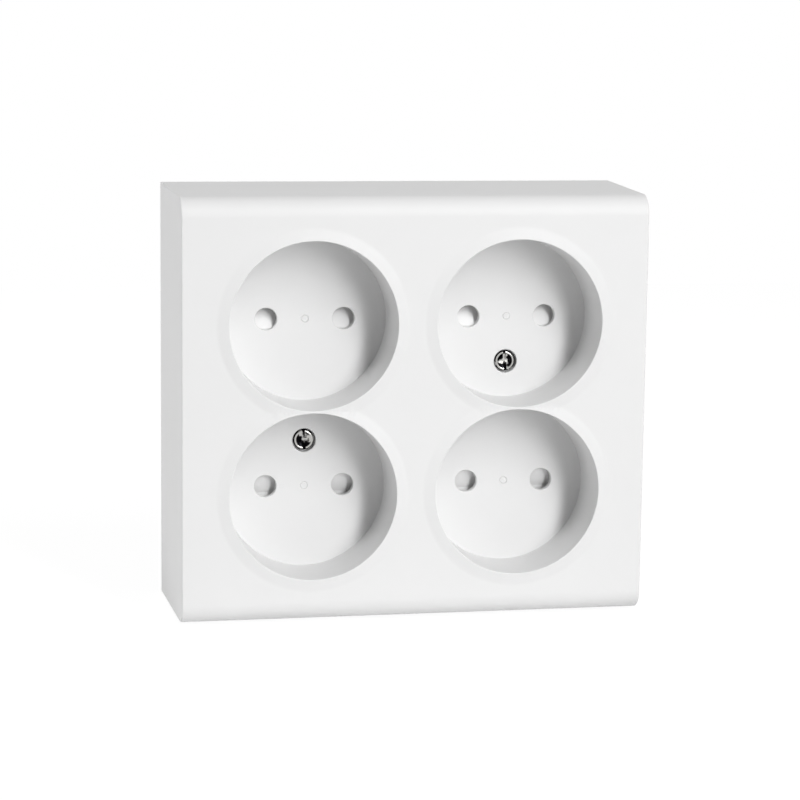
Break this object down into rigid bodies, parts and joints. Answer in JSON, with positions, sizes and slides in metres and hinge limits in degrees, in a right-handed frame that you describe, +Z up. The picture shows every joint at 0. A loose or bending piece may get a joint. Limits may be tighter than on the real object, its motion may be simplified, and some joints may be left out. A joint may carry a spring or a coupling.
{
  "type": "surface mount quad socket",
  "caption": "Square surface mounted wall socket outlet with round recessed wells in two rows, shuttered pin holes, rounded top and bottom front edges and a screwed cover.",
  "frame": {"origin": "centre of the wall side of the base", "axes": "+X to the right seen from the front, +Y into the wall, +Z up"},
  "size_m": [0.1146, 0.04, 0.1036],
  "materials": {
    "cover_white": "white satin moulding",
    "base_white": "white moulding",
    "shutter_plastic": "pale grey moulding",
    "cage_plastic": "pale moulding",
    "plate_plastic": "grey moulding",
    "screw_nickel": "bright nickel plate",
    "spring_steel": "drawn wire",
    "terminal_steel": "zinc plate",
    "contact_bronze": "rolled sheet",
    "brass": "rolled and turned"
  },
  "bodies": {
    "housing": {"front_cover": "cover_white", "base": "base_white", "cover_screw_upper": "screw_nickel", "cover_screw_lower": "screw_nickel", "screw_insert_upper": "brass", "screw_insert_lower": "brass", "shutter_cage_top_left": "cage_plastic", "shutter_spring_top_left": "spring_steel", "shutter_cage_top_right": "cage_plastic", "shutter_spring_top_right": "spring_steel", "shutter_cage_bottom_left": "cage_plastic", "shutter_spring_bottom_left": "spring_steel", "shutter_cage_bottom_right": "cage_plastic", "shutter_spring_bottom_right": "spring_steel", "live_busbar": "brass", "neutral_busbar": "brass", "contact_clip_top_left_left": "contact_bronze", "contact_clip_top_left_right": "contact_bronze", "contact_clip_top_right_left": "contact_bronze", "contact_clip_top_right_right": "contact_bronze", "contact_clip_bottom_left_left": "contact_bronze", "contact_clip_bottom_left_right": "contact_bronze", "contact_clip_bottom_right_left": "contact_bronze", "contact_clip_bottom_right_right": "contact_bronze", "live_terminal_outer": "terminal_steel", "live_terminal_screw_outer": "screw_nickel", "live_terminal_inner": "terminal_steel", "live_terminal_screw_inner": "screw_nickel", "neutral_terminal_outer": "terminal_steel", "neutral_terminal_screw_outer": "screw_nickel", "neutral_terminal_inner": "terminal_steel", "neutral_terminal_screw_inner": "screw_nickel", "contact_plate_left": "plate_plastic", "contact_plate_right": "plate_plastic"},
    "shutter_top_left_body": {"shutter_top_left": "shutter_plastic"},
    "shutter_top_right_body": {"shutter_top_right": "shutter_plastic"},
    "shutter_bottom_left_body": {"shutter_bottom_left": "shutter_plastic"},
    "shutter_bottom_right_body": {"shutter_bottom_right": "shutter_plastic"}
  },
  "joints": [
    {"name": "shutter_top_left_slide", "type": "slide", "parent": "housing", "child": "shutter_top_left_body", "axis": [0, 0, -1], "range_m": [0, 0.0063], "stiffness_N_per_m": 100, "springref_m": -0.004, "deforming": ["shutter_spring_top_left"]},
    {"name": "shutter_top_right_slide", "type": "slide", "parent": "housing", "child": "shutter_top_right_body", "axis": [0, 0, -1], "range_m": [0, 0.0063], "stiffness_N_per_m": 100, "springref_m": -0.004, "deforming": ["shutter_spring_top_right"]},
    {"name": "shutter_bottom_left_slide", "type": "slide", "parent": "housing", "child": "shutter_bottom_left_body", "axis": [0, 0, 1], "range_m": [0, 0.0063], "stiffness_N_per_m": 100, "springref_m": -0.004, "deforming": ["shutter_spring_bottom_left"]},
    {"name": "shutter_bottom_right_slide", "type": "slide", "parent": "housing", "child": "shutter_bottom_right_body", "axis": [0, 0, 1], "range_m": [0, 0.0063], "stiffness_N_per_m": 100, "springref_m": -0.004, "deforming": ["shutter_spring_bottom_right"]}
  ]
}
